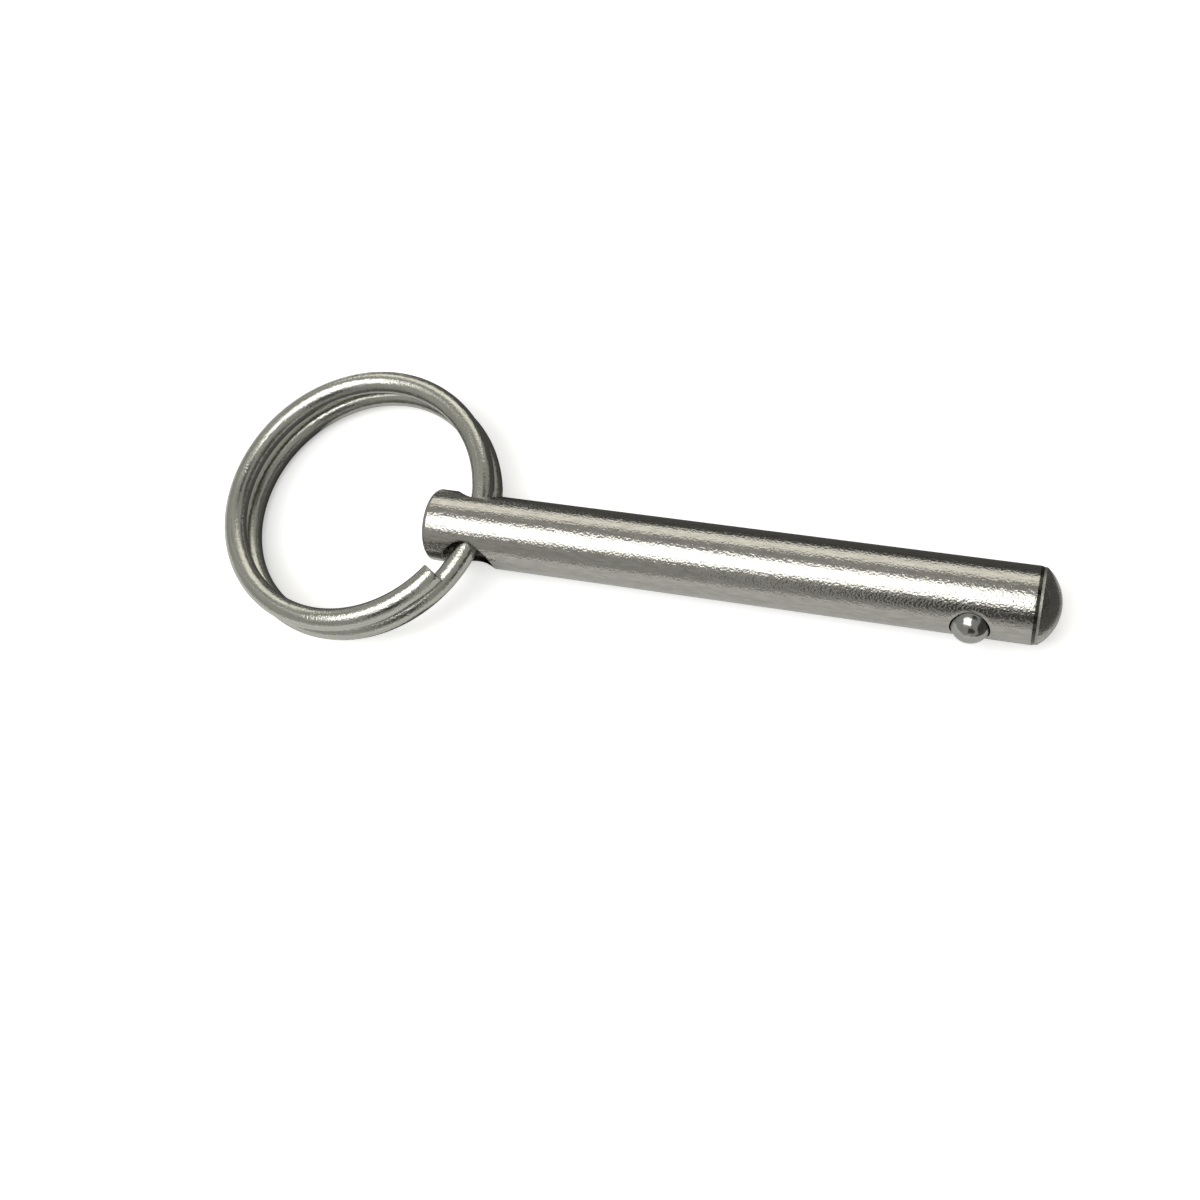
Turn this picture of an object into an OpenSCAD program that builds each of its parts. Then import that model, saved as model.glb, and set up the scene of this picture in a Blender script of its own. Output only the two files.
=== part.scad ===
// Quick release pin: a solid detent pin with a split ring through its head end.
// The pin lies along X. The origin is the centre of its flat head end, and +Z is up.

/* [Pin] */
// Diameter of the shank
pin_d = 6.35; // [5.5:0.05:9]
// Length of the whole pin, from the flat end to the nose
pin_l = 53.75; // [46:0.05:120]
// Rounding of the edge at the flat end
head_round = 0.45; // [0.1:0.05:0.9]

/* [Nose] */
// Length of the domed nose
nose_l = 1.5; // [1:0.05:2.5]
// Width of the narrow bevel between the shank and the nose
band_w = 0.4; // [0.2:0.05:1]
// How far the bevel runs in from the shank's surface
band_drop = 0.08; // [0.02:0.01:0.3]

/* [Cross hole] */
// Diameter of the hole that the ring passes through
hole_d = 4.7; // [4.6:0.05:5]
// Distance from the flat end to the hole's centre
hole_x = 4; // [3.5:0.1:8]

/* [Ball] */
// Diameter of the detent ball
ball_d = 3.175; // [2.8:0.025:3.4]
// Distance from the nose to the ball's centre
ball_from_nose = 6.7; // [5:0.05:12]
// How far the ball stands out of the shank
ball_out = 1; // [0.5:0.05:1.1]
// Turn of the ball's bore about the pin, up from the cross hole's line
ball_turn = 15; // [0:1:45]
// Gap around the ball in its bore
ball_gap = 0.05; // [0.02:0.01:0.1]
// Gap between the ball and the lip that keeps it in
lip_gap = 0.03; // [0.01:0.01:0.06]
// Slope of the lip
lip_slope = 25; // [20:1:35]
// Metal left under the bore's floor
floor_t = 1; // [0.6:0.05:1.3]

/* [Spring] */
// Diameter of the spring's wire
spring_wire = 0.4; // [0.3:0.02:0.45]
// Number of turns
spring_turns = 4.5; // [3.5:0.5:4.5]
// Turns at each end that lie closed
spring_closed = 0.75; // [0.5:0.25:1]
// Gap around the spring in the bore
spring_gap = 0.2; // [0.1:0.02:0.3]
// Gap at the spring's two seats
seat_gap = 0.01; // [0.005:0.005:0.03]

/* [Split ring] */
// Outer diameter of the ring
ring_d = 25.7; // [22:0.1:34]
// Diameter of the ring's wire
ring_wire = 2; // [1.6:0.05:2.1]
// Gap between the two turns at the cross hole
turn_gap = 0.06; // [0.04:0.02:0.2]
// How much further the turns stand apart on the side away from the pin
turn_spread = 0.8; // [0:0.05:1]
// Angle from the pin's axis back to the cut end that shows
cut_angle = 32.5; // [28:0.5:60]
// Angle past the cross hole at which the other end stops
tail_angle = 12.5; // [10:0.5:26]
// How far the ring sits off to the side away from the ball, along the cross hole
ring_shift = 1; // [0:0.1:1.2]

/* [Hidden] */

$fn = 96;
past = 1;                   // how far a cut runs past the surface it goes through

pin_r = pin_d / 2;
hole_r = hole_d / 2;
band_x = pin_l - nose_l;    // where the nose starts
nose_r = pin_r - band_drop;
dome_r = (pow(nose_r, 2) + pow(nose_l, 2)) / (2 * nose_l);
dome_half = atan2(nose_r, dome_r - nose_l);
arc_steps = 12;             // points on the head's rounding and on the nose

// The ball's bore, with heights measured from the pin's axis out along the bore
ball_r = ball_d / 2;
ball_x = pin_l - ball_from_nose;
ball_h = pin_r + ball_out - ball_r;
bore_r = ball_r + ball_gap;
bore_floor = floor_t - pin_r;
lip_r = ball_r + lip_gap;
lip_h = ball_h + (lip_r - bore_r * cos(lip_slope)) / sin(lip_slope);
mouth_h = pin_r + past;

// The spring, which stands on the bore's floor and carries the ball inside its end turn
spring_sides = 8;
spring_step = 22.5;         // degrees of turn between one section and the next
spring_r = bore_r - spring_gap - spring_wire / 2;
spring_low = bore_floor + seat_gap + spring_wire / 2;
spring_high = ball_h - sqrt(pow(ball_r + spring_wire / 2 + seat_gap, 2) - pow(spring_r, 2));
closed_rise = spring_wire + seat_gap;
open_rise = (spring_high - spring_low - 2 * spring_closed * closed_rise)
    / (spring_turns - 2 * spring_closed);

// The ring's middle line: two turns that wind down clockwise from the cut end that shows.
// Angles are degrees of wire from that end. The wire passes the cross hole after hole_pass
// degrees, and again a turn later.
ring_sides = 14;
ring_step = 5;              // degrees of turn, at most, between one section and the next
wire_r = ring_wire / 2;
ring_r = (ring_d - ring_wire) / 2;
turn_pitch = ring_wire + turn_gap;
hole_pass = 360 - cut_angle;
ring_sweep = hole_pass + 360 + tail_angle;
ring_steps = ceil(ring_sweep / ring_step);
hole_end = pin_r + ring_shift;  // the end of the cross hole that is further from the ring's centre
ring_bow = (ring_r - sqrt(pow(ring_r, 2) - pow(hole_end, 2))) / 2;
ring_x = ring_bow - ring_r;  // the ring's centre, from the centre of the cross hole

// Height of the spring's middle line after t turns
function spring_height(t) =
    t < spring_closed ? spring_low + t * closed_rise
    : t > spring_turns - spring_closed ? spring_high - (spring_turns - t) * closed_rise
    : spring_low + spring_closed * closed_rise + (t - spring_closed) * open_rise;

// How far the first turn is raised, and the second lowered, by the ring's spread
function spread_at(turned) = turn_spread * (1 - cos(turned - hole_pass)) / 4;

// Height of the ring's middle line above the cross hole's centre
function ring_height(turned) =
    turn_pitch * (0.5 - (turned - hole_pass) / 360)
    + (turned < hole_pass ? spread_at(turned) : -spread_at(turned));

// How far the middle line lies behind the cross hole
function ring_back(turned) = -ring_x - ring_r * cos(turned + cut_angle);

// The tilt at which the wire just touches the surface that the shank lies on
function touch_tilt(turned) = asin((pin_r - wire_r + ring_height(turned)) / ring_back(turned));
rest_tilt = min([for (turned = [hole_pass + 90 : 1 : hole_pass + 270]) touch_tilt(turned)]);

// One section of a round wire that winds about Z and climbs as its angle grows: the corners
// of a disc across the wire
function wire_section(bend_r, angle, height, slope, r, sides) = [
    for (k = [0 : sides - 1])
        let (out = bend_r + r * cos(360 * k / sides), up = r * sin(360 * k / sides))
        [out * cos(angle) + up * sin(slope) * sin(angle),
         out * sin(angle) - up * sin(slope) * cos(angle),
         height + up * cos(slope)]
];

// A solid wire through a list of sections that wind clockwise
module wire_solid(sections, sides) {
    last = len(sections) - 1;
    points = [for (section = sections) each section];
    walls = [
        for (i = [0 : last - 1], k = [0 : sides - 1])
            let (a = i * sides + k, b = i * sides + (k + 1) % sides)
            each [[a, b, b + sides], [a, b + sides, a + sides]]
    ];
    start_cap = [[for (k = [sides - 1 : -1 : 0]) k]];
    end_cap = [[for (k = [0 : sides - 1]) last * sides + k]];
    polyhedron(points, concat(walls, start_cap, end_cap), convexity = 6);
}

// Carries a shape drawn with its bore along Z to the ball's place and direction
module at_ball() {
    translate([ball_x, 0, 0])
        rotate([90 - ball_turn, 0, 0])
            children();
}

// The turned bar: half of its outline, spun about the pin's axis
module bar() {
    head_arc = [
        for (i = [0 : arc_steps])
            let (angle = 90 * i / arc_steps)
            [pin_r - head_round * (1 - sin(angle)), head_round * (1 - cos(angle))]
    ];
    nose_arc = [
        for (i = [0 : arc_steps])
            let (angle = dome_half * (1 - i / arc_steps))
            [dome_r * sin(angle), pin_l - dome_r * (1 - cos(angle))]
    ];
    rotate([0, 90, 0])
        rotate_extrude()
            polygon(concat([[0, 0]], head_arc, [[pin_r, band_x - band_w]], nose_arc));
}

// The blind bore of the ball, with the lip that closes in over it
module ball_bore() {
    mouth_r = (lip_r - (mouth_h - ball_h) * sin(lip_slope)) / cos(lip_slope);
    rotate_extrude()
        polygon([[0, bore_floor], [bore_r, bore_floor], [bore_r, lip_h], [mouth_r, mouth_h], [0, mouth_h]]);
}

module pin_body() {
    color("silver")
        difference() {
            bar();
            translate([hole_x, 0, 0])
                rotate([90, 0, 0])
                    cylinder(h = pin_d + 2 * past, r = hole_r, center = true);
            at_ball()
                ball_bore();
        }
}

module detent_ball() {
    color("gainsboro")
        at_ball()
            translate([0, 0, ball_h])
                sphere(ball_r);
}

module detent_spring() {
    slope = atan(open_rise / (2 * PI * spring_r));
    color("lightgray")
        at_ball()
            wire_solid([
                for (turned = [spring_turns * 360 : -spring_step : 0])
                    wire_section(spring_r, turned, spring_height(turned / 360), slope,
                        spring_wire / 2, spring_sides)
            ], spring_sides);
}

module split_ring() {
    slope = atan(turn_pitch / (2 * PI * ring_r));
    color("darkgray")
        translate([hole_x, 0, 0])
            rotate([0, -rest_tilt, 0])
                translate([ring_x, ring_shift, 0])
                    wire_solid([
                        for (i = [0 : ring_steps])
                            let (turned = ring_sweep * i / ring_steps)
                            wire_section(ring_r, -cut_angle - turned, ring_height(turned), slope,
                                wire_r, ring_sides)
                    ], ring_sides);
}

pin_body();
detent_ball();
detent_spring();
split_ring();
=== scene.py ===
"""Looks of a quick release pin: a turned steel pin with a sprung detent ball near its nose
and a split ring through the cross hole in its head end. Lengths are in metres. The pin lies
along X with its flat end at the origin, its nose towards +X and +Z up."""

import math

import bmesh
import bpy
from mathutils import Matrix, Vector


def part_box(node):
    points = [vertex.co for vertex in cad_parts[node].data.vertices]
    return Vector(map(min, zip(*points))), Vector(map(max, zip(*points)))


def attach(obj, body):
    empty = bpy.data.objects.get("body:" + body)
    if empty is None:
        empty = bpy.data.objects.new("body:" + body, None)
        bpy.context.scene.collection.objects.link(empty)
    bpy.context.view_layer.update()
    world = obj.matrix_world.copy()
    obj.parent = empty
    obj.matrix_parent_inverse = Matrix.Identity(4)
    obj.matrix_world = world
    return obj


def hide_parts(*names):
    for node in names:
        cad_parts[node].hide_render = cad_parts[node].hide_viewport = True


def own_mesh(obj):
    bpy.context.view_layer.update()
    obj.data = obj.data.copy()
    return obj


bl_info = {
    "name": "Quick release pin",
    "version": (1, 0, 0),
    "blender": (4, 5, 0),
    "location": "3D View > Sidebar > Pin",
    "description": "Builds a quick release pin with its detent ball, spring and split ring",
    "category": "Add Mesh",
}

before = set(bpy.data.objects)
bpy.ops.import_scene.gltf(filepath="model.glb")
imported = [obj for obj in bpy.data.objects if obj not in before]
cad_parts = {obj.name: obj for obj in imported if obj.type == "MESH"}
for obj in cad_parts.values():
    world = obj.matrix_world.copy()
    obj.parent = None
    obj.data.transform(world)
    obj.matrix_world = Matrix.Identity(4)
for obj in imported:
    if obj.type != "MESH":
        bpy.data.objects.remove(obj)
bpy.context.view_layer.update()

pin_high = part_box("pin_body")[1]

MM = 0.001
TURN = 2 * math.pi

# How finely round shapes are drawn
PIN_SIDES = 192             # round the pin
HOLE_SIDES = 128            # round the cross hole, the bore and the dish
RING_SIDES = 40             # round the ring's wire
SPRING_SIDES = 16           # round the spring's wire
RING_STEP = 2               # degrees from one section of the ring to the next
SPRING_STEPS = 48           # sections in a turn of the spring
HEAD_STEPS = 14             # over the rounded edge of the flat end
DOME_STEPS = 28             # over the nose
EDGE_STEPS = 4              # over the edge of a cut wire
BALL_CUTS = 47              # across each side of the cube that the ball is rounded from
STATION_GAP = 0.16 * MM     # between loops of vertices where a hole is cut
MERGE_GAP = 0.0005 * MM     # vertices nearer than this are one

# Cutters
CLEAR = 1 * MM                      # how far a cutter stands out of the pin
HOLE_MARGIN = 0.4 * MM              # fine loops past the cross hole
BALL_MARGIN = 0.7 * MM              # fine loops past the ball
HOLE_STRAIGHT = 0.3 * MM            # first part of the cross hole, from the pin's middle
HOLE_SEATED = 0.4 * MM              # loops above this follow the pin's surface
SEATED_OVER = 0.5 * MM              # loops up to this far over the surface follow it too
SEATED_OUT = 0.999                  # of the pin's radius, as far out as they follow it
BROKEN_LEAN = math.radians(65)      # lean of a broken edge where it meets the surface
BROKEN_OVER = 0.3                   # its cutter leaves the surface this share of its width up
LIP_CLEAR = 0.3 * MM                # how far the lip's cone is carried on past the surface
DISH_MIDDLE = 0.2 * MM              # radius of the flat middle of the dish's cutter
DISH_LAP = 0.1 * MM                 # how far inside the ball's edge the dish starts to rise
DISH_OUTER = 1.4                    # its cutter's width over the surface, in dish widths
DISH_UNDER = 0.01 * MM              # so that its lowest loops follow the pin's surface too

# The soft corner between shank and bevel: (length before the corner, depth) in mm
BEVEL_CORNER = ((0.5, 0), (0.25, 0), (0.1, 0.003), (0, 0.012))

# Finishes
STREAK_RANGE = (0.32, 0.68)     # of the streaks' noise, from dull to bright
GRAIN_RANGE = (0.3, 0.75)       # of the grain's noise, from smooth to rough
BALL_DULL = 0.85                # of the ball's colour, in its streaks
SPRING_DULL = 0.7               # of the spring's colour, in its streaks
PAINTED_SHADE_AHEAD = 0.08 * MM         # the dark line of painted shade starts this far before the bevel
BEVEL_MATT = 0.35               # added roughness of the bevel
NOSE_MATT = 0.12                # added roughness of the nose

# The studio
FLOOR_SIZE = 2.4
FLOOR_GAP = 0.01 * MM           # under the lowest piece
FLOOR_GREY = 0.72               # share of its colour that it throws back as soft light
FLOOR_SHINE = 0.3               # share of the way back to its full colour, seen in the metal
FLOOR_LIFT = 0.42               # light added to the floor where the camera sees it
ROOM_LEVEL = 0.43               # brightness of the room, which is 1 where the camera sees it
ROOM_TINT = (1, 0.99, 0.95, 1)
MATT = 0.9                      # roughness of the floor and the cards

# Soft boxes: place, aim, width, height, brightness, colour, and whether the metal shows it
SOFT_BOXES = {
    "overhead_box": (
        (-0.1175, -0.1225, 0.5), (-0.1175, -0.1225, 0), 0.425, 0.405, 2.5, (1, 1, 0.99), True
    ),
    "back_box": ((-0.1, 0.4, 0.25), (-0.1, 0, 0.0), 0.5, 0.25, 0.95, (1, 0.97, 0.87), True),
    "floor_fill": ((-0.3, -0.14, 0.36), (0.01, 0, 0), 0.3, 0.3, 2.4, (1, 1, 1), False),
}

# Dark cards: place, size, turn and grey
LYING, HANGING = (0, 0, 0), (math.pi, 0, 0)
UPRIGHT, TURNED_UPRIGHT = (math.pi / 2, 0, 0), (math.pi / 2, 0, math.pi / 2)
FACING_BACK = (-math.pi / 2, 0, 0)
CARD_LIFT = 0.005 * MM
CARD_OVER = 0.006 * MM          # for the card that lies partly over another
LOW_CARDS = {                   # their height is above the floor
    "dark_card_behind": ((0.072, 0.011, CARD_LIFT), (0.15, 0.011), LYING, 0.1),
    "dark_card_far": ((0.0675, 0.066, CARD_LIFT), (0.165, 0.099), LYING, 0.1),
    "dark_card_upright": ((0.03, 0.117, 0.014), (0.3, 0.028), UPRIGHT, 0.1),
    "dark_card_ring": ((-0.0125, 0.0, CARD_LIFT), (0.014, 0.017), LYING, 0.14),
    "dark_card_head": ((-0.002, -0.0085, CARD_OVER), (0.011, 0.007), LYING, 0.12),
    "dark_card_nose": ((0.1175, -0.045, CARD_LIFT), (0.122, 0.15), LYING, 0.12),
    "dark_card_nose_upright": ((0.181, 0.0, 0.05), (0.26, 0.1), TURNED_UPRIGHT, 0.1),
}
HIGH_CARDS = {                  # their height is above the pin's axis
    "dark_card_high": ((0.26, 0.2, 0.5), (0.3, 0.2), HANGING, 0.1),
    "dark_card_front": ((0.15, -0.55, 0.36), (0.36, 0.4), FACING_BACK, 0.1),
}

# The camera
CAMERA_PLACE = (53.09, -42.04, 116.01)      # in mm
CAMERA_LOOK = (-0.2871, 0.2929, -0.9120)
CAMERA_UP = (-0.1384, 0.9294, 0.3420)
CAMERA_LENS = 45.03
SENSOR_WIDTH = 36


# ---------------------------------------------------------------- sizes and colours


def length(name, description, default, low=0.0):
    """A property that holds a length in millimetres."""
    return bpy.props.FloatProperty(
        name=name, description=description + ", in mm", default=default, min=low, precision=3
    )


def angle(name, description, default):
    """A property that holds an angle, given here in degrees."""
    return bpy.props.FloatProperty(
        name=name, description=description, default=math.radians(default),
        subtype="ANGLE", unit="ROTATION",
    )


def colour(name, description, default):
    """A property that holds a colour."""
    return bpy.props.FloatVectorProperty(
        name=name, description=description, default=default, subtype="COLOR",
        size=3, min=0.0, max=1.0,
    )


class PinSizes(bpy.types.PropertyGroup):
    """Sizes of the turned pin."""

    diameter: length("Diameter", "Diameter of the shank", 2 * pin_high.y / MM)
    pin_length: length("Length", "Whole length of the pin", pin_high.x / MM)
    head_round: length("Head rounding", "Rounding of the edge at the flat end", 0.45)
    nose_length: length("Nose length", "Length of the domed nose", 1.5)
    band_width: length("Bevel width", "Width of the bevel between shank and nose", 0.4)
    band_drop: length("Bevel drop", "How far the bevel runs in", 0.08)
    band_steep: length("Bevel edge", "Width of the bevel's steep first part", 0.2)
    hole_diameter: length("Cross hole", "Diameter of the hole for the ring", 4.7)
    hole_place: length("Cross hole place", "From the flat end to the hole's centre", 4.0)
    hole_edge: length("Hole edge", "Width of the broken edge round the hole", 0.09)


class BallSizes(bpy.types.PropertyGroup):
    """Sizes of the detent ball, its bore and its spring."""

    diameter: length("Ball", "Diameter of the detent ball", 3.175)
    from_nose: length("Ball place", "From the nose to the ball's centre", 6.7)
    stands_out: length("Ball stands out", "How far the ball stands out", 1.0)
    turned: angle("Bore turn", "Turn of the bore about the pin, up from the side", 15)
    gap: length("Ball gap", "Gap round the ball in its bore", 0.05)
    lip_gap: length("Lip gap", "Gap between the ball and its lip", 0.09)
    lip_slope: angle("Lip slope", "Slope of the lip that keeps the ball in", 25)
    floor: length("Floor", "Metal left under the bore", 1.0)
    stake_width: length("Pressed edge", "Width of the dished edge round the ball", 0.3)
    stake_depth: length("Pressed edge depth", "Depth of the dished edge", 0.06)
    wire: length("Spring wire", "Diameter of the spring's wire", 0.4)
    turns: bpy.props.FloatProperty(
        name="Spring turns", description="Turns of the spring", default=4.5
    )
    closed: bpy.props.FloatProperty(
        name="Closed turns", description="Turns that lie closed at each end", default=0.75
    )
    spring_gap: length("Spring gap", "Gap round the spring in the bore", 0.2)
    seat_gap: length("Seat gap", "Gap at the spring's two seats", 0.01)


class RingSizes(bpy.types.PropertyGroup):
    """Sizes of the split ring."""

    diameter: length("Ring", "Outer diameter of the ring", 25.675)
    wire: length("Ring wire", "Diameter of the ring's wire", 1.975)
    turn_gap: length("Turn gap", "Gap between the two turns at the cross hole", 0.085)
    spread: length("Spread", "How much further the turns stand apart opposite", 0.8)
    cut: angle("Cut end", "Angle from the pin's axis back to the upper cut end", 32.5)
    tail: angle("Lower end", "Angle past the cross hole at which the wire ends", 12.5)
    shift: length("Side shift", "How far the ring sits off along the cross hole", 1.0)
    end_edge: length("Cut edge", "Rounding left on the edge of a cut end", 0.16)


class SteelColours(bpy.types.PropertyGroup):
    """Colours of the metal and of what it stands on."""

    pin_light: colour("Pin, bright", "Turned steel where it is clean", (0.50, 0.49, 0.455))
    pin_dark: colour("Pin, dull", "Turned steel in its grain", (0.40, 0.39, 0.355))
    # Painted shade: a near-black colour laid on the bevel's steep part as a dark line
    bevel_painted_shade: colour("Bevel", "Steep part of the bevel", (0.1, 0.1, 0.09))
    ring_light: colour("Ring, bright", "Drawn wire", (0.56, 0.56, 0.51))
    ring_dark: colour("Ring, dull", "Drawn wire in its draw lines", (0.45, 0.45, 0.40))
    ball_steel: colour("Ball", "Polished ball", (0.46, 0.46, 0.44))
    spring_steel: colour("Spring", "Spring wire", (0.36, 0.36, 0.35))
    floor: colour("Floor", "Pale floor", (0.92, 0.92, 0.92))


# ---------------------------------------------------------------- tools for the bench


def start_clean():
    """Leaves edit mode and deselects everything."""
    if bpy.context.mode != "OBJECT":
        bpy.ops.object.mode_set(mode="OBJECT")
    bpy.ops.object.select_all(action="DESELECT")


def pick(piece):
    """Makes a piece the only selected and the active one."""
    start_clean()
    piece.select_set(True)
    bpy.context.view_layer.objects.active = piece


def edit(piece, select="VERT"):
    """Opens a piece in edit mode with nothing selected."""
    pick(piece)
    bpy.ops.object.mode_set(mode="EDIT")
    bpy.ops.mesh.select_mode(type=select)
    bpy.ops.mesh.select_all(action="DESELECT")


def choose(piece, parts, test):
    """Selects the vertices, edges or faces of a piece that pass a test."""
    mesh = bmesh.from_edit_mesh(piece.data)
    found = 0
    for part in getattr(mesh, parts):
        if test(part):
            part.select_set(True)
            found += 1
    mesh.select_flush(True)
    bmesh.update_edit_mesh(piece.data)
    if not found:
        raise RuntimeError(f"nothing to select on {piece.name}")


def move_vertices(piece, place):
    """Moves each vertex of a piece in object mode to the place that a function gives."""
    start_clean()
    for vertex in piece.data.vertices:
        vertex.co = place(vertex.index, vertex.co.copy())
    piece.data.update()


def carry(piece, matrix):
    """Carries a piece by a matrix and leaves its object at the origin."""
    pick(piece)
    piece.matrix_world = matrix @ piece.matrix_world
    bpy.ops.object.transform_apply(location=True, rotation=True, scale=True)


def tidy_faces(piece):
    """Merges doubles and points the faces outwards."""
    edit(piece)
    bpy.ops.mesh.select_all(action="SELECT")
    bpy.ops.mesh.remove_doubles(threshold=MERGE_GAP)
    bpy.ops.mesh.normals_make_consistent(inside=False)
    bpy.ops.object.mode_set(mode="OBJECT")


def apply_modifier(piece, kind, **settings):
    """Adds a modifier with its settings and applies it."""
    pick(piece)
    bpy.ops.object.modifier_add(type=kind)
    modifier = piece.modifiers[-1]
    for key, value in settings.items():
        setattr(modifier, key, value)
    bpy.ops.object.modifier_apply(modifier=modifier.name)


def cut_with(piece, cutter):
    """Cuts a cutter out of a piece and throws the cutter away."""
    apply_modifier(piece, "BOOLEAN", operation="DIFFERENCE", object=cutter, solver="EXACT")
    pick(cutter)
    bpy.ops.object.delete()


def add_circle(name, sides, radius, place=(0, 0, 0), rotation=(0, 0, 0), fill="NOTHING"):
    """Adds a circle with its name. It is the start of a turned or swept piece."""
    start_clean()
    bpy.ops.mesh.primitive_circle_add(
        vertices=sides, radius=radius, fill_type=fill, location=place, rotation=rotation
    )
    piece = bpy.context.active_object
    piece.name = piece.data.name = name
    bpy.ops.object.transform_apply(location=True, rotation=True, scale=True)
    return piece


def grow_stack(stations):
    """Extrudes the selected loop up a list of (height, radius) stations round Z."""
    height, radius = stations[0]
    for next_height, next_radius in stations[1:]:
        bpy.ops.mesh.extrude_region_move(
            TRANSFORM_OT_translate={"value": (0, 0, next_height - height)}
        )
        factor = next_radius / radius
        if abs(factor - 1) > 1e-9:
            bpy.ops.transform.resize(
                value=(factor, factor, 1), center_override=(0, 0, next_height)
            )
        height, radius = next_height, next_radius


def finish_piece(piece, material, body, node, smooth=40):
    """Shades a piece, gives it its material and sets it on its body in place of its CAD node."""
    pick(piece)
    bpy.ops.object.shade_smooth_by_angle(angle=math.radians(smooth))
    piece.data.materials.clear()
    piece.data.materials.append(material)
    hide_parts(node)
    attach(piece, body)


# ---------------------------------------------------------------- metals


class Nodes:
    """Lays out the nodes of a material round a Principled shader."""

    def __init__(self, name):
        self.material = bpy.data.materials.new(name)
        self.material.use_nodes = True
        self.tree = self.material.node_tree
        self.tree.nodes.clear()
        self.shader = self.add("ShaderNodeBsdfPrincipled")
        output = self.add("ShaderNodeOutputMaterial")
        self.link(self.shader, "BSDF", output, "Surface")

    def add(self, kind, **settings):
        node = self.tree.nodes.new(kind)
        for key, value in settings.items():
            setattr(node, key, value)
        return node

    def link(self, source, output, target, socket):
        self.tree.links.new(source.outputs[output], target.inputs[socket])

    def stretched(self, coordinates, scale):
        """Coordinates of the piece, stretched by a scale along each axis."""
        mapping = self.add("ShaderNodeMapping")
        mapping.inputs["Scale"].default_value = scale
        self.link(coordinates[0], coordinates[1], mapping, "Vector")
        return mapping, "Vector"

    def noise(self, coordinates, detail=2.0, roughness=0.5):
        """Noise with one feature to each unit of the coordinates."""
        node = self.add("ShaderNodeTexNoise")
        node.inputs["Scale"].default_value = 1.0
        node.inputs["Detail"].default_value = detail
        node.inputs["Roughness"].default_value = roughness
        self.link(coordinates[0], coordinates[1], node, "Vector")
        return node

    def spread(self, source, output, low, high, out_low, out_high):
        """Maps a range of a pattern onto another range."""
        node = self.add("ShaderNodeMapRange")
        for socket, value in (
            ("From Min", low), ("From Max", high), ("To Min", out_low), ("To Max", out_high)
        ):
            node.inputs[socket].default_value = value
        self.link(source, output, node, "Value")
        return node

    def mix(self, source, output, first, second):
        """Mixes two colours by a pattern."""
        node = self.add("ShaderNodeMix", data_type="RGBA")
        node.inputs["A"].default_value = (*first, 1)
        node.inputs["B"].default_value = (*second, 1)
        self.link(source, output, node, "Factor")
        return node

    def between(self, place, low, high):
        """1 where the piece's own X lies between two places, and 0 elsewhere."""
        axes = self.add("ShaderNodeSeparateXYZ")
        self.link(place, "Object", axes, "Vector")
        node = self.add("ShaderNodeMath", operation="COMPARE")
        middle, reach = (low + high) / 2, (high - low) / 2
        node.inputs[1].default_value = middle
        node.inputs[2].default_value = reach
        self.link(axes, "X", node, 0)
        return node

    def slip_in(self, socket, node, entry):
        """Puts a node between a socket of the shader and what feeds it."""
        target = self.shader.inputs[socket]
        self.tree.links.new(target.links[0].from_socket, node.inputs[entry])
        self.tree.links.new(next(out for out in node.outputs if out.enabled), target)

    def bump(self, source, output, height, under=None):
        """A bump of a real height, on top of another bump if one is given."""
        node = self.add("ShaderNodeBump")
        node.inputs["Distance"].default_value = height
        node.inputs["Strength"].default_value = 1.0
        self.link(source, output, node, "Height")
        if under is not None:
            self.link(under, "Normal", node, "Normal")
        return node


def darker(tint, share):
    """A share of a colour."""
    return tuple(share * value for value in tint)


def metal(name, light, dull, coordinates, grain, grain_height, rough, streak, streak_height):
    """A steel whose grain shows in its roughness and bump, and whose streaks show in its
    colour and bump. Grain and streak are features a metre along each axis of the coordinates,
    and rough is the least and the most roughness."""
    nodes = Nodes(name)
    place = nodes.add("ShaderNodeTexCoord")
    nodes.shader.inputs["Metallic"].default_value = 1.0
    fine = nodes.noise(nodes.stretched((place, coordinates), grain), detail=1.0, roughness=0.4)
    lines = nodes.noise(nodes.stretched((place, coordinates), streak))
    shade = nodes.spread(lines, "Fac", *STREAK_RANGE, 0.0, 1.0)
    tint = nodes.mix(shade, "Result", dull, light)
    nodes.link(tint, "Result", nodes.shader, "Base Color")
    dull_spots = nodes.spread(fine, "Fac", *GRAIN_RANGE, *rough)
    nodes.link(dull_spots, "Result", nodes.shader, "Roughness")
    lined = nodes.bump(lines, "Fac", streak_height)
    grained = nodes.bump(fine, "Fac", grain_height, under=lined)
    nodes.link(grained, "Normal", nodes.shader, "Normal")
    return nodes


# ---------------------------------------------------------------- the turned pin


def bore_matrix(ball):
    """Carries a shape drawn with the ball's bore along Z to the bore's own place."""
    pin = bpy.context.scene.pin_sizes
    place = (pin.pin_length - ball.from_nose) * MM
    turn = math.pi / 2 - ball.turned
    return Matrix.Translation((place, 0, 0)) @ Matrix.Rotation(turn, 4, "X")


def ball_height(pin, ball):
    """Height of the ball's centre above the pin's axis, along its bore."""
    return (pin.diameter / 2 + ball.stands_out - ball.diameter / 2) * MM


def seat_on_surface(cutter, surface, low):
    """Bends a cutter's loops to the curve of a round bar along X. Loops below `low` stay as
    they are, and so does the last loop, well over the bar's top."""

    def place(index, co):
        if not low < co.z < surface + SEATED_OVER:
            return co
        reach = min(abs(co.y), surface * SEATED_OUT)
        return Vector((co.x, co.y, co.z - surface + math.sqrt(surface**2 - reach**2)))

    move_vertices(cutter, place)


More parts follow.
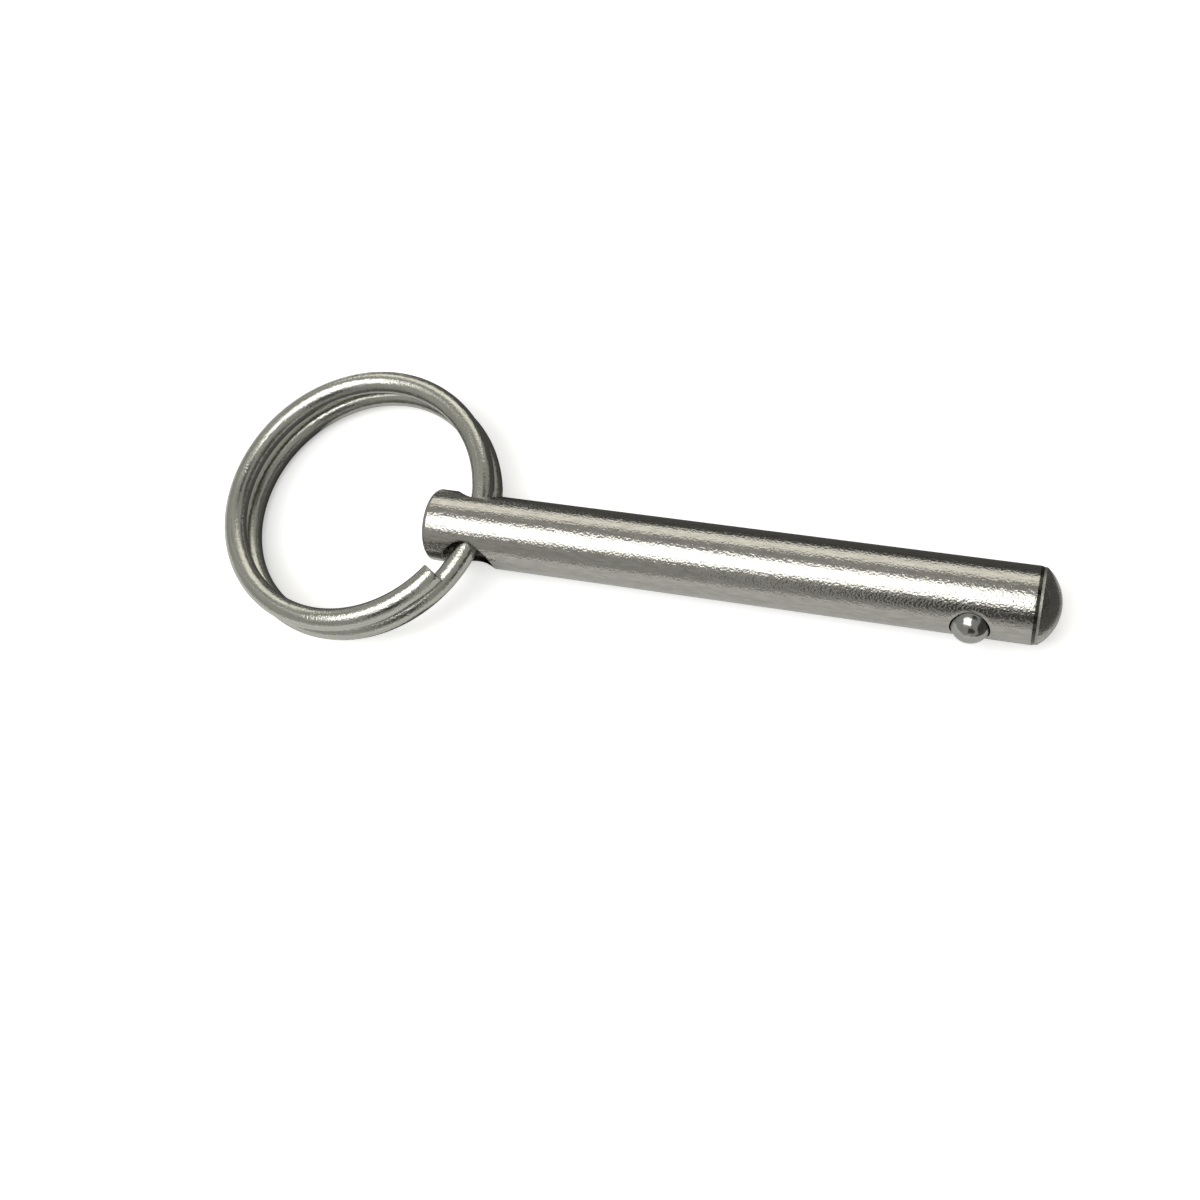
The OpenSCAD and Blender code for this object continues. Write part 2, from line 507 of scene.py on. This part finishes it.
def broken_edge(surface, radius, width, steps=5):
    """Stations (height, radius) of a rounded edge, as deep as it is wide, where a hole opens
    on a surface, and on past the surface."""
    last = BROKEN_LEAN
    stations = [
        (
            surface - width * (1 - math.sin(lean) / math.sin(last)),
            radius + width * (1 - math.cos(lean)) / (1 - math.cos(last)),
        )
        for lean in (last * k / steps for k in range(steps + 1))
    ]
    outer = radius + 2 * width
    return stations + [(surface + BROKEN_OVER * width, outer), (surface + CLEAR, outer)]


class MESH_OT_turned_pin(bpy.types.Operator):
    """Turn the pin, drill its cross hole and its ball's bore, and break their edges"""

    bl_idname = "mesh.turned_pin"
    bl_label = "Turned pin"

    def execute(self, context):
        pin, ball = context.scene.pin_sizes, context.scene.ball_sizes
        radius, whole = pin.diameter / 2 * MM, pin.pin_length * MM
        hole_x, hole_r = pin.hole_place * MM, pin.hole_diameter / 2 * MM
        nose_start = whole - pin.nose_length * MM
        bevel_start = nose_start - pin.band_width * MM
        bevel_middle = bevel_start + pin.band_steep * MM

        stations = self.head_stations(pin, radius)
        stations += self.fine_stations(hole_x, hole_r + HOLE_MARGIN, radius)
        ball_x, ball_r = whole - ball.from_nose * MM, ball.diameter / 2 * MM
        stations += self.fine_stations(ball_x, ball_r + BALL_MARGIN, radius)
        nose_r = radius - pin.band_drop * MM
        stations += [
            (bevel_start - before * MM, radius - depth * MM) for before, depth in BEVEL_CORNER
        ]
        stations += [(bevel_middle, nose_r), (nose_start, nose_r)]
        stations += self.dome_stations(pin, nose_r, whole)
        stations.sort()
        piece = add_circle("pin_body_turned", PIN_SIDES, stations[0][1], fill="NGON")
        edit(piece)
        bpy.ops.mesh.select_all(action="SELECT")
        grow_stack(stations)
        bpy.ops.mesh.merge(type="CENTER")
        bpy.ops.object.mode_set(mode="OBJECT")
        tidy_faces(piece)
        carry(piece, Matrix.Rotation(math.pi / 2, 4, "Y"))

        cutter = self.hole_cutter(radius, hole_r, pin.hole_edge * MM)
        carry(cutter, Matrix.Translation((hole_x, 0, 0)) @ Matrix.Rotation(math.pi / 2, 4, "X"))
        cut_with(piece, cutter)
        for cutter in (self.bore_cutter(pin, ball, radius), self.dish_cutter(ball, radius)):
            carry(cutter, bore_matrix(ball))
            cut_with(piece, cutter)
        tidy_faces(piece)

        pick(piece)
        bpy.ops.object.shade_smooth_by_angle(angle=math.radians(35))
        apply_modifier(piece, "WEIGHTED_NORMAL", keep_sharp=True, weight=80)
        steel = context.scene.steel_colours
        finish = metal(
            "pin_steel_turned", light=steel.pin_light, dull=steel.pin_dark, coordinates="Object",
            grain=(5200, 5800, 5800), grain_height=0.025 * MM, rough=(0.12, 0.2),
            streak=(900, 4000, 4000), streak_height=0.003 * MM,
        )
        self.paint_bevel_shade_and_dull_nose(finish, steel, bevel_start, bevel_middle, nose_start, whole)
        piece.data.materials.clear()
        piece.data.materials.append(finish.material)
        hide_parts("pin_body")
        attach(piece, "pin")
        return {"FINISHED"}

    @staticmethod
    def head_stations(pin, radius):
        """Stations (height, radius) of the flat end's rounded edge."""
        bend = pin.head_round * MM
        return [
            (bend * (1 - math.cos(a)), radius - bend * (1 - math.sin(a)))
            for a in (math.pi / 2 * k / HEAD_STEPS for k in range(HEAD_STEPS + 1))
        ]

    @staticmethod
    def fine_stations(centre, reach, radius):
        """Close stations on the shank, where a hole is cut."""
        start, end = centre - reach, centre + reach
        count = round((end - start) / STATION_GAP)
        return [(start + (end - start) * k / count, radius) for k in range(count + 1)]

    @staticmethod
    def dome_stations(pin, edge_r, tip):
        """Stations of the nose, a part of a sphere, from its edge to its tip."""
        nose = pin.nose_length * MM
        dome_r = (edge_r**2 + nose**2) / (2 * nose)
        half = math.atan2(edge_r, dome_r - nose)
        tip_angle = 0.001       # radians, so that the last loop can be merged into a point
        return [
            (tip - dome_r * (1 - math.cos(a)), dome_r * math.sin(max(a, tip_angle)))
            for a in (half * (1 - k / DOME_STEPS) for k in range(1, DOME_STEPS + 1))
        ]

    @staticmethod
    def paint_bevel_shade_and_dull_nose(finish, steel, start, middle, end, tip):
        """Paints a dark line of shade on the bevel's steep part, leaves the rest of it matt and
        the nose a little less bright than the shank."""
        place = finish.add("ShaderNodeTexCoord")
        # Painted shade: a dark colour painted in a band over the bevel's steep part
        dark = finish.between(place, start - PAINTED_SHADE_AHEAD, middle)
        tint = finish.mix(dark, "Value", (0, 0, 0), steel.bevel_painted_shade)
        finish.slip_in("Base Color", tint, "A")
        for low, high, extra in ((middle, end, BEVEL_MATT), (end, tip, NOSE_MATT)):
            part = finish.between(place, low, high)
            rough = finish.add("ShaderNodeMath", operation="MULTIPLY_ADD")
            finish.link(part, "Value", rough, 0)
            rough.inputs[1].default_value = extra
            finish.slip_in("Roughness", rough, 2)

    @staticmethod
    def hole_cutter(surface, radius, edge):
        """The cross hole along Z, with broken edges where it comes out of the pin."""
        cutter = add_circle("hole_cutter", HOLE_SIDES, radius)
        edit(cutter)
        bpy.ops.mesh.select_all(action="SELECT")
        stations = [(0, radius), (HOLE_STRAIGHT, radius)]
        grow_stack(stations + broken_edge(surface, radius, edge))
        bpy.ops.mesh.edge_face_add()
        bpy.ops.object.mode_set(mode="OBJECT")
        seat_on_surface(cutter, surface, HOLE_SEATED)
        apply_modifier(cutter, "MIRROR", use_axis=(False, False, True))
        tidy_faces(cutter)
        return cutter

    @staticmethod
    def bore_cutter(pin, ball, surface):
        """The ball's blind bore, with the lip that closes in over the ball."""
        height = ball_height(pin, ball)
        ball_r = ball.diameter / 2 * MM
        bore_r = ball_r + ball.gap * MM
        lip_r = ball_r + ball.lip_gap * MM
        slope = ball.lip_slope
        lip_h = height + (lip_r - bore_r * math.cos(slope)) / math.sin(slope)
        floor = (ball.floor - pin.diameter / 2) * MM
        top = surface + LIP_CLEAR
        top_r = (lip_r - (top - height) * math.sin(slope)) / math.cos(slope)
        cutter = add_circle("bore_cutter", HOLE_SIDES, bore_r, place=(0, 0, floor), fill="NGON")
        edit(cutter)
        bpy.ops.mesh.select_all(action="SELECT")
        grow_stack([(floor, bore_r), (lip_h, bore_r), (top, top_r)])
        bpy.ops.object.mode_set(mode="OBJECT")
        tidy_faces(cutter)
        return cutter

    @staticmethod
    def dish_cutter(ball, surface):
        """A shallow dish that follows the pin's surface: the edge pressed down round the
        ball. It is flat under the ball and curves up outside it."""
        inner = ball.diameter / 2 * MM
        width, depth = ball.stake_width * MM, ball.stake_depth * MM
        low = surface - depth
        cutter = add_circle(
            "dish_cutter", HOLE_SIDES, DISH_MIDDLE, place=(0, 0, low), fill="NGON"
        )
        edit(cutter)
        bpy.ops.mesh.select_all(action="SELECT")
        flat_steps, rise_steps = 8, 4
        stations = [(low, DISH_MIDDLE)]
        stations += [(low, inner * k / flat_steps) for k in range(2, flat_steps)]
        stations += [
            (
                low + depth * (k / rise_steps) ** 2,
                inner - DISH_LAP + (width + DISH_LAP) * k / rise_steps,
            )
            for k in range(rise_steps + 1)
        ]
        outer = inner + width * DISH_OUTER
        stations += [(surface + depth, outer), (surface + CLEAR, outer)]
        grow_stack(stations)
        bpy.ops.object.mode_set(mode="OBJECT")
        seat_on_surface(cutter, surface, low - DISH_UNDER)
        tidy_faces(cutter)
        return cutter


# ---------------------------------------------------------------- ball and spring


class MESH_OT_detent_ball(bpy.types.Operator):
    """Round the detent ball from a cube and set it in its bore"""

    bl_idname = "mesh.detent_ball"
    bl_label = "Detent ball"

    def execute(self, context):
        pin, ball = context.scene.pin_sizes, context.scene.ball_sizes
        radius = ball.diameter / 2 * MM
        start_clean()
        bpy.ops.mesh.primitive_cube_add(size=radius)
        piece = context.active_object
        piece.name = piece.data.name = "detent_ball_polished"
        edit(piece)
        bpy.ops.mesh.select_all(action="SELECT")
        bpy.ops.mesh.subdivide(number_cuts=BALL_CUTS)
        bpy.ops.transform.tosphere(value=1.0)
        bpy.ops.object.mode_set(mode="OBJECT")
        move_vertices(piece, lambda index, co: co.normalized() * radius)
        lift = Matrix.Translation((0, 0, ball_height(pin, ball)))
        carry(piece, bore_matrix(ball) @ lift)
        steel = context.scene.steel_colours
        finish = metal(
            "ball_steel_polished", light=steel.ball_steel,
            dull=darker(steel.ball_steel, BALL_DULL), coordinates="Object",
            grain=(3400, 3400, 3400), grain_height=0.012 * MM, rough=(0.12, 0.2),
            streak=(1100, 1100, 1100), streak_height=0.05 * MM,
        )
        finish_piece(piece, finish.material, "ball", "detent_ball", smooth=60)
        return {"FINISHED"}


class MESH_OT_detent_spring(bpy.types.Operator):
    """Coil the spring that pushes the ball out"""

    bl_idname = "mesh.detent_spring"
    bl_label = "Detent spring"

    def execute(self, context):
        pin, ball = context.scene.pin_sizes, context.scene.ball_sizes
        wire_r = ball.wire / 2 * MM
        seat = ball.seat_gap * MM
        ball_r = ball.diameter / 2 * MM
        coil_r = ball_r + (ball.gap - ball.spring_gap) * MM - wire_r
        low = (ball.floor - pin.diameter / 2) * MM + seat + wire_r
        high = ball_height(pin, ball) - math.sqrt((ball_r + wire_r + seat) ** 2 - coil_r**2)
        closed_rise = 2 * wire_r + seat
        open_rise = (high - low - 2 * ball.closed * closed_rise) / (
            ball.turns - 2 * ball.closed
        )

        def height(turned):
            """Height of the wire's middle line after some turns: close at both ends."""
            if turned < ball.closed:
                return low + turned * closed_rise
            if turned > ball.turns - ball.closed:
                return high - (ball.turns - turned) * closed_rise
            return low + ball.closed * closed_rise + (turned - ball.closed) * open_rise

        steps = int(ball.turns * SPRING_STEPS)
        piece = coil(
            "detent_spring_coiled", wire_r, coil_r, SPRING_SIDES, steps, ball.turns * TURN
        )

        def lift(index, co):
            turned = index // SPRING_SIDES / steps * ball.turns
            return Vector((co.x, co.y, co.z + height(turned)))

        move_vertices(piece, lift)
        close_wire(piece, 0.0)
        carry(piece, bore_matrix(ball))
        steel = context.scene.steel_colours
        finish = metal(
            "spring_steel_drawn", light=steel.spring_steel,
            dull=darker(steel.spring_steel, SPRING_DULL), coordinates="Object",
            grain=(9000, 9000, 9000), grain_height=0.002 * MM, rough=(0.2, 0.32),
            streak=(2500, 2500, 2500), streak_height=0.002 * MM,
        )
        finish_piece(piece, finish.material, "pin", "detent_spring")
        # The ball meets the wire on its slope, lower than the wire's top
        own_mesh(piece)
        return {"FINISHED"}


def coil(name, wire_r, bend_r, sides, steps, sweep):
    """Sweeps the section of a wire round Z. The sections' vertices follow each other in the
    mesh, so a vertex's number gives its section and its place round the wire."""
    piece = add_circle(name, sides, wire_r, place=(bend_r, 0, 0), rotation=(math.pi / 2, 0, 0))
    edit(piece)
    bpy.ops.mesh.select_all(action="SELECT")
    bpy.ops.mesh.spin(
        steps=steps, angle=-sweep, center=(0, 0, 0), axis=(0, 0, 1), use_auto_merge=False
    )
    bpy.ops.object.mode_set(mode="OBJECT")
    return piece


def close_wire(piece, edge):
    """Closes both ends of a wire and rounds the edges of the cuts, if an edge is given."""
    edit(piece, "EDGE")
    choose(piece, "edges", lambda line: line.is_boundary)
    bpy.ops.mesh.edge_face_add()
    bpy.ops.object.mode_set(mode="OBJECT")
    if edge > 0:
        edit(piece, "FACE")
        choose(piece, "faces", lambda face: len(face.verts) > 4)
        bpy.ops.mesh.region_to_loop()
        bpy.ops.mesh.bevel(offset=edge, segments=EDGE_STEPS, profile=0.5, affect="EDGES")
        bpy.ops.object.mode_set(mode="OBJECT")
    edit(piece)
    bpy.ops.mesh.select_all(action="SELECT")
    bpy.ops.mesh.normals_make_consistent(inside=False)
    bpy.ops.object.mode_set(mode="OBJECT")


# ---------------------------------------------------------------- the split ring


class MESH_OT_split_ring(bpy.types.Operator):
    """Wind the two turns of the split ring through the cross hole"""

    bl_idname = "mesh.split_ring"
    bl_label = "Split ring"

    def execute(self, context):
        pin, ring = context.scene.pin_sizes, context.scene.ring_sizes
        wire_r = ring.wire / 2 * MM
        bend_r = (ring.diameter - ring.wire) / 2 * MM
        pitch = (ring.wire + ring.turn_gap) * MM
        pin_r = pin.diameter / 2 * MM
        # Angles are from the upper cut end. The wire first comes to the cross hole after
        # `hole_pass`, and the ring's middle stands `back` from the hole, so that the bent wire
        # lies centred in it.
        hole_pass = TURN - ring.cut
        sweep = hole_pass + TURN + ring.tail
        hole_end = pin_r + ring.shift * MM
        bow = (bend_r - math.sqrt(bend_r**2 - hole_end**2)) / 2
        back = bow - bend_r

        def height(turned):
            """Height of the wire's middle line over the ring's middle plane."""
            apart = ring.spread * MM * (1 - math.cos(turned - hole_pass)) / 4
            return pitch * (0.5 - (turned - hole_pass) / TURN) + (
                apart if turned < hole_pass else -apart
            )

        def touch_tilt(turned):
            """Tilt of the ring at which this part of the wire lies on the floor."""
            reach = -back - bend_r * math.cos(turned + ring.cut)
            return math.asin((pin_r - wire_r + height(turned)) / reach)

        tilt = min(
            touch_tilt(hole_pass + math.radians(step)) for step in range(90, 271)
        )
        steps = int(math.degrees(sweep) / RING_STEP)
        piece = coil("split_ring_wound", wire_r, bend_r, RING_SIDES, steps, -sweep)
        start = Matrix.Rotation(-ring.cut, 4, "Z")

        def wind(index, co):
            turned = index // RING_SIDES / steps * sweep
            return start @ Matrix.Translation((0, 0, height(turned))) @ co

        move_vertices(piece, wind)
        self.mark_wire(piece, steps, sweep * bend_r, wire_r)
        close_wire(piece, ring.end_edge * MM)
        seat = (
            Matrix.Translation((pin.hole_place * MM, 0, 0))
            @ Matrix.Rotation(-tilt, 4, "Y")
            @ Matrix.Translation((back, ring.shift * MM, 0))
        )
        carry(piece, seat)
        steel = context.scene.steel_colours
        finish = metal(
            "ring_steel_drawn", light=steel.ring_light, dull=steel.ring_dark, coordinates="UV",
            grain=(5200, 6000, 1), grain_height=0.024 * MM, rough=(0.17, 0.26),
            streak=(260, 2400, 1), streak_height=0.006 * MM,
        )
        finish_piece(piece, finish.material, "ring", "split_ring")
        return {"FINISHED"}

    @staticmethod
    def mark_wire(piece, steps, run, wire_r):
        """Gives the ring's wire a map in metres: along the wire, and round it."""
        layer = piece.data.uv_layers.active
        layer.name = "along_wire"
        round_wire = TURN * wire_r
        for face in piece.data.polygons:
            spots = [piece.data.loops[i].vertex_index for i in face.loop_indices]
            sides = [spot % RING_SIDES for spot in spots]
            wraps = max(sides) - min(sides) > 1
            for i, spot, side in zip(face.loop_indices, spots, sides):
                if wraps and side == 0:
                    side = RING_SIDES
                step = spot // RING_SIDES
                layer.data[i].uv = (run * step / steps, round_wire * side / RING_SIDES)


# ---------------------------------------------------------------- the studio


class OBJECT_OT_pin_studio(bpy.types.Operator):
    """Set the pale floor, the soft lights and the camera"""

    bl_idname = "object.pin_studio"
    bl_label = "Studio"

    def execute(self, context):
        level = min(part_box("pin_body")[0].z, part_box("split_ring")[0].z) - FLOOR_GAP
        self.floor(context, level)
        self.world(context)
        self.lights()
        self.cards(level)
        self.camera(context)
        context.scene.view_settings.view_transform = "Standard"
        return {"FINISHED"}

    @staticmethod
    def floor(context, level):
        """A pale floor. The camera sees its full colour, lifted towards white, so that the
        background is plain and the shadows stay. The metal sees it greyer."""
        start_clean()
        bpy.ops.mesh.primitive_plane_add(size=FLOOR_SIZE, location=(0, 0, level))
        floor = context.active_object
        floor.name = "floor"
        nodes = Nodes("floor_pale")
        path = nodes.add("ShaderNodeLightPath")
        metal_share = nodes.add("ShaderNodeMath", operation="MULTIPLY")
        nodes.link(path, "Is Glossy Ray", metal_share, 0)
        metal_share.inputs[1].default_value = FLOOR_SHINE
        seen = nodes.add("ShaderNodeMath", operation="MAXIMUM")
        nodes.link(path, "Is Camera Ray", seen, 0)
        nodes.link(metal_share, "Value", seen, 1)
        pale = context.scene.steel_colours.floor
        shade = nodes.mix(seen, "Value", darker(pale, FLOOR_GREY), pale)
        nodes.link(shade, "Result", nodes.shader, "Base Color")
        nodes.shader.inputs["Roughness"].default_value = MATT
        nodes.shader.inputs["Specular IOR Level"].default_value = 0.0
        lift = nodes.add("ShaderNodeMath", operation="MULTIPLY")
        nodes.link(path, "Is Camera Ray", lift, 0)
        lift.inputs[1].default_value = FLOOR_LIFT
        nodes.shader.inputs["Emission Color"].default_value = (1, 1, 1, 1)
        nodes.link(lift, "Value", nodes.shader, "Emission Strength")
        floor.data.materials.append(nodes.material)

    @staticmethod
    def world(context):
        """A room that is white where the camera sees it, and dimmer for everything else."""
        world = bpy.data.worlds.new("studio")
        context.scene.world = world
        world.use_nodes = True
        tree = world.node_tree
        background = tree.nodes["Background"]
        background.inputs["Color"].default_value = ROOM_TINT
        path = tree.nodes.new("ShaderNodeLightPath")
        strength = tree.nodes.new("ShaderNodeMath")
        strength.operation = "MAXIMUM"
        strength.inputs[1].default_value = ROOM_LEVEL
        tree.links.new(path.outputs["Is Camera Ray"], strength.inputs[0])
        tree.links.new(strength.outputs["Value"], background.inputs["Strength"])

    @staticmethod
    def lights():
        """Hangs the soft boxes. A box is as bright as its level says, whatever its size."""
        for name, (place, aim, width, height, level, tint, shown) in SOFT_BOXES.items():
            start_clean()
            bpy.ops.object.light_add(type="AREA", location=place)
            lamp = bpy.context.active_object
            lamp.name = name
            lamp.data.shape = "RECTANGLE"
            lamp.data.size, lamp.data.size_y = width, height
            lamp.data.energy = level * math.pi * width * height
            lamp.data.color = tint
            lamp.visible_glossy = shown
            to_aim = Vector(aim) - Vector(place)
            lamp.rotation_euler = to_aim.to_track_quat("-Z", "Y").to_euler()

    @staticmethod
    def cards(level):
        """Sets the dark cards, which only the metal sees."""
        cards = {
            name: ((x, y, level + z), *rest) for name, ((x, y, z), *rest) in LOW_CARDS.items()
        }
        cards.update(HIGH_CARDS)
        for name, (place, size, turn, grey) in cards.items():
            start_clean()
            bpy.ops.mesh.primitive_plane_add(size=1, location=place, rotation=turn)
            card = bpy.context.active_object
            card.name = name
            card.scale = (*size, 1)
            bpy.ops.object.transform_apply(location=False, rotation=False, scale=True)
            nodes = Nodes(name)
            nodes.shader.inputs["Base Color"].default_value = (grey, grey, grey, 1)
            nodes.shader.inputs["Roughness"].default_value = MATT
            nodes.shader.inputs["Specular IOR Level"].default_value = 0.0
            card.data.materials.append(nodes.material)
            card.visible_camera = card.visible_diffuse = False
            card.visible_shadow = card.visible_transmission = False

    @staticmethod
    def camera(context):
        """The camera stands above the nose's near side, turned so that the pin runs down
        to the right."""
        start_clean()
        place = Vector(CAMERA_PLACE) * MM
        forward = Vector(CAMERA_LOOK).normalized()
        up = Vector(CAMERA_UP)
        bpy.ops.object.camera_add(location=place)
        camera = context.active_object
        camera.data.sensor_width = SENSOR_WIDTH
        camera.data.lens = CAMERA_LENS
        camera.data.clip_start, camera.data.clip_end = 0.01, 20
        right = forward.cross(up).normalized()
        up = right.cross(forward)
        turn = Matrix((right, up, -forward)).transposed()
        camera.rotation_euler = turn.to_euler()
        context.scene.camera = camera


# ---------------------------------------------------------------- the add-on


class VIEW3D_PT_quick_release_pin(bpy.types.Panel):
    """Lists the pieces and their sizes"""

    bl_label = "Quick release pin"
    bl_space_type = "VIEW_3D"
    bl_region_type = "UI"
    bl_category = "Pin"

    def draw(self, context):
        for group in (
            context.scene.pin_sizes, context.scene.ball_sizes,
            context.scene.ring_sizes, context.scene.steel_colours,
        ):
            box = self.layout.box()
            for key in group.__annotations__:
                box.prop(group, key)
        for step in STEPS:
            self.layout.operator(step.bl_idname)


STEPS = (
    MESH_OT_turned_pin,
    MESH_OT_detent_ball,
    MESH_OT_detent_spring,
    MESH_OT_split_ring,
    OBJECT_OT_pin_studio,
)
GROUPS = {
    "pin_sizes": PinSizes,
    "ball_sizes": BallSizes,
    "ring_sizes": RingSizes,
    "steel_colours": SteelColours,
}


def register():
    for group in GROUPS.values():
        bpy.utils.register_class(group)
    for name, group in GROUPS.items():
        setattr(bpy.types.Scene, name, bpy.props.PointerProperty(type=group))
    for step in STEPS:
        bpy.utils.register_class(step)
    bpy.utils.register_class(VIEW3D_PT_quick_release_pin)


def unregister():
    bpy.utils.unregister_class(VIEW3D_PT_quick_release_pin)
    for step in reversed(STEPS):
        bpy.utils.unregister_class(step)
    for name in GROUPS:
        delattr(bpy.types.Scene, name)
    for group in reversed(GROUPS.values()):
        bpy.utils.unregister_class(group)


def main():
    register()
    bpy.ops.mesh.turned_pin()
    bpy.ops.mesh.detent_ball()
    bpy.ops.mesh.detent_spring()
    bpy.ops.mesh.split_ring()
    bpy.ops.object.pin_studio()


if __name__ == "__main__":
    main()
